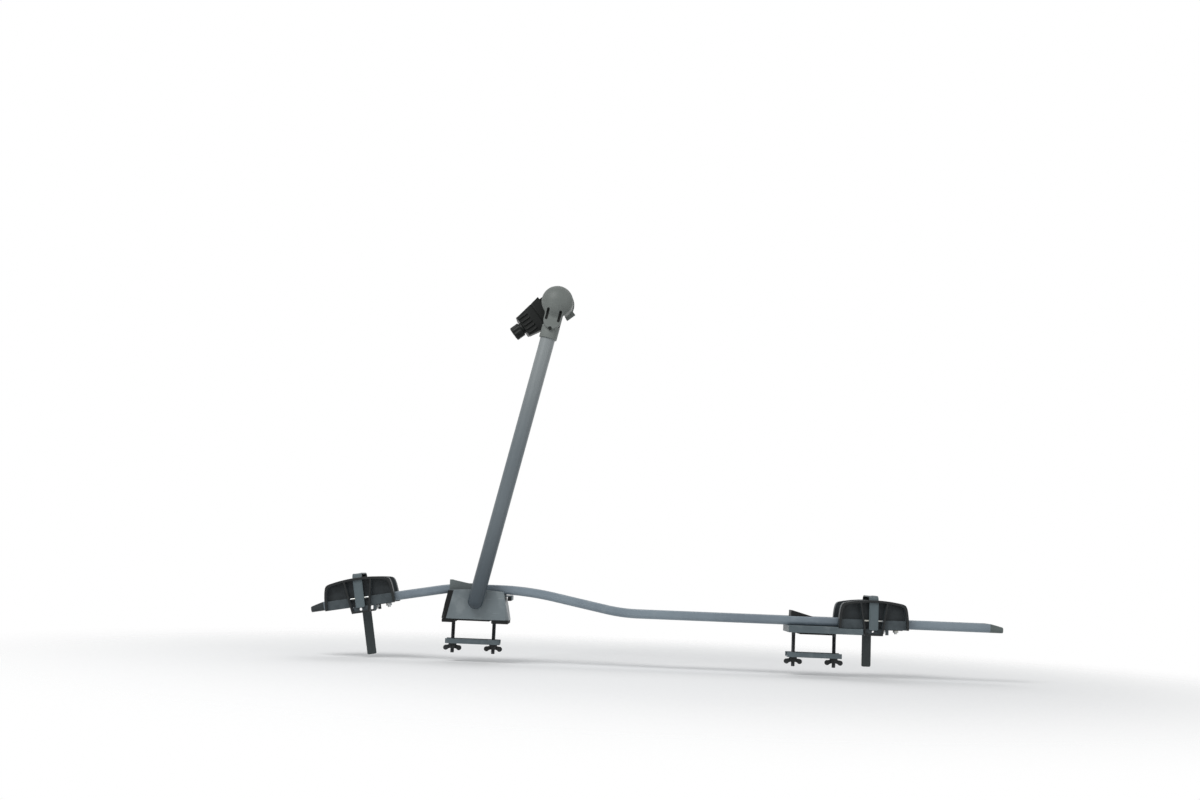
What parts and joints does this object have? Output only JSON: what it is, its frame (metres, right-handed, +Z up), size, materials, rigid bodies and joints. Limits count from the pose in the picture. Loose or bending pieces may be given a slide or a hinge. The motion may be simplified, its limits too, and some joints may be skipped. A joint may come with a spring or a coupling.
{
  "type": "roof mounted bike carrier",
  "caption": "Roof mounted bike carrier: bent wheel channel on two clamped feet, wheel trays with straps and a folding arm with a screw clamp for the down tube.",
  "frame": {"origin": "on the front foot's rubber seat, on the channel's middle plane, where the front roof bar bears", "axes": "+X along the channel towards its rear end, +Y across towards the side away from the arm, +Z up"},
  "size_m": [1.4218, 0.1499, 0.7756],
  "materials": {
    "coated_steel": "satin blue-grey powder coat",
    "foot_steel": "satin dark grey powder coat",
    "fastener_steel": "zinc plated",
    "dark_plastic": "moulded black, fine grain",
    "plug_plastic": "moulded dark grey",
    "tray_plastic": "moulded black, fine grain",
    "jaw_plastic": "moulded black",
    "cover_plastic": "moulded mid grey, fine grain",
    "pad_rubber": "matt",
    "strap_plastic": "stiff moulded strap"
  },
  "bodies": {
    "rack": {"rail_channel": "coated_steel", "front_end_cap": "dark_plastic", "rear_end_cap": "dark_plastic", "front_base": "foot_steel", "front_saddle": "foot_steel", "front_seat_pad": "pad_rubber", "front_bolt_cover": "dark_plastic", "front_rail_bolts": "fastener_steel", "front_rail_nuts": "fastener_steel", "front_studs": "fastener_steel", "pivot_bolt": "fastener_steel", "pivot_washer": "fastener_steel", "rear_foot": "foot_steel", "rear_seat_pad": "pad_rubber", "rear_bolt_cover": "dark_plastic", "rear_rail_bolts": "fastener_steel", "rear_rail_nuts": "fastener_steel", "rear_studs": "fastener_steel", "front_tray": "tray_plastic", "rear_tray": "tray_plastic", "front_tray_bolts": "fastener_steel", "rear_tray_bolts": "fastener_steel", "front_strap_pins": "fastener_steel", "rear_strap_pins": "fastener_steel", "front_strap": "strap_plastic", "rear_strap": "strap_plastic"},
    "front_clamp": {"front_clamp_plate": "foot_steel"},
    "front_left_wing": {"front_left_nut": "dark_plastic"},
    "front_right_wing": {"front_right_nut": "dark_plastic"},
    "rear_clamp": {"rear_clamp_plate": "foot_steel"},
    "rear_left_wing": {"rear_left_nut": "dark_plastic"},
    "rear_right_wing": {"rear_right_nut": "dark_plastic"},
    "arm": {"arm_tube": "coated_steel", "arm_foot_plug": "plug_plastic", "head_core": "jaw_plastic", "head_cover": "cover_plastic", "head_screw": "fastener_steel", "fixed_jaw_pad": "pad_rubber"},
    "jaw": {"moving_jaw": "jaw_plastic", "moving_jaw_pad": "pad_rubber"},
    "knob": {"clamp_knob": "jaw_plastic", "clamp_screw": "fastener_steel"}
  },
  "joints": [
    {"name": "arm_fold", "type": "hinge", "parent": "rack", "child": "arm", "pos_m": [-0.005, -0.06295, 0.04], "axis": [0, 1, 0], "range_deg": [-25, 70]},
    {"name": "jaw_slide", "type": "slide", "parent": "arm", "child": "jaw", "axis": [-0.7837, 0, -0.6211], "range_m": [-0.018, 0.025]},
    {"name": "knob_turn", "type": "hinge", "parent": "jaw", "child": "knob", "pos_m": [0.0548, -0.03295, 0.603], "axis": [-0.7837, 0, -0.6211], "range_deg": [-2161, 3001]},
    {"name": "front_clamp_slide", "type": "slide", "parent": "rack", "child": "front_clamp", "axis": [0, 0, 1], "range_m": [-0.008, 0.014]},
    {"name": "front_left_nut_turn", "type": "hinge", "parent": "front_clamp", "child": "front_left_wing", "pos_m": [-0.053, 0, -0.055], "axis": [0, 0, 1], "range_deg": [-2305, 4033]},
    {"name": "front_right_nut_turn", "type": "hinge", "parent": "front_clamp", "child": "front_right_wing", "pos_m": [0.031, 0, -0.055], "axis": [0, 0, 1], "range_deg": [-2305, 4033]},
    {"name": "rear_clamp_slide", "type": "slide", "parent": "rack", "child": "rear_clamp", "axis": [0, 0, 1], "range_m": [-0.008, 0.014]},
    {"name": "rear_left_nut_turn", "type": "hinge", "parent": "rear_clamp", "child": "rear_left_wing", "pos_m": [0.65, 0, -0.055], "axis": [0, 0, 1], "range_deg": [-2305, 4033]},
    {"name": "rear_right_nut_turn", "type": "hinge", "parent": "rear_clamp", "child": "rear_right_wing", "pos_m": [0.734, 0, -0.055], "axis": [0, 0, 1], "range_deg": [-2305, 4033]}
  ],
  "couplings": [
    {"joint": "knob_turn", "follows": "jaw_slide", "rad_per_m": 2094.4},
    {"joint": "front_left_nut_turn", "follows": "front_clamp_slide", "rad_per_m": 5026.5},
    {"joint": "front_right_nut_turn", "follows": "front_clamp_slide", "rad_per_m": 5026.5},
    {"joint": "rear_left_nut_turn", "follows": "rear_clamp_slide", "rad_per_m": 5026.5},
    {"joint": "rear_right_nut_turn", "follows": "rear_clamp_slide", "rad_per_m": 5026.5}
  ]
}
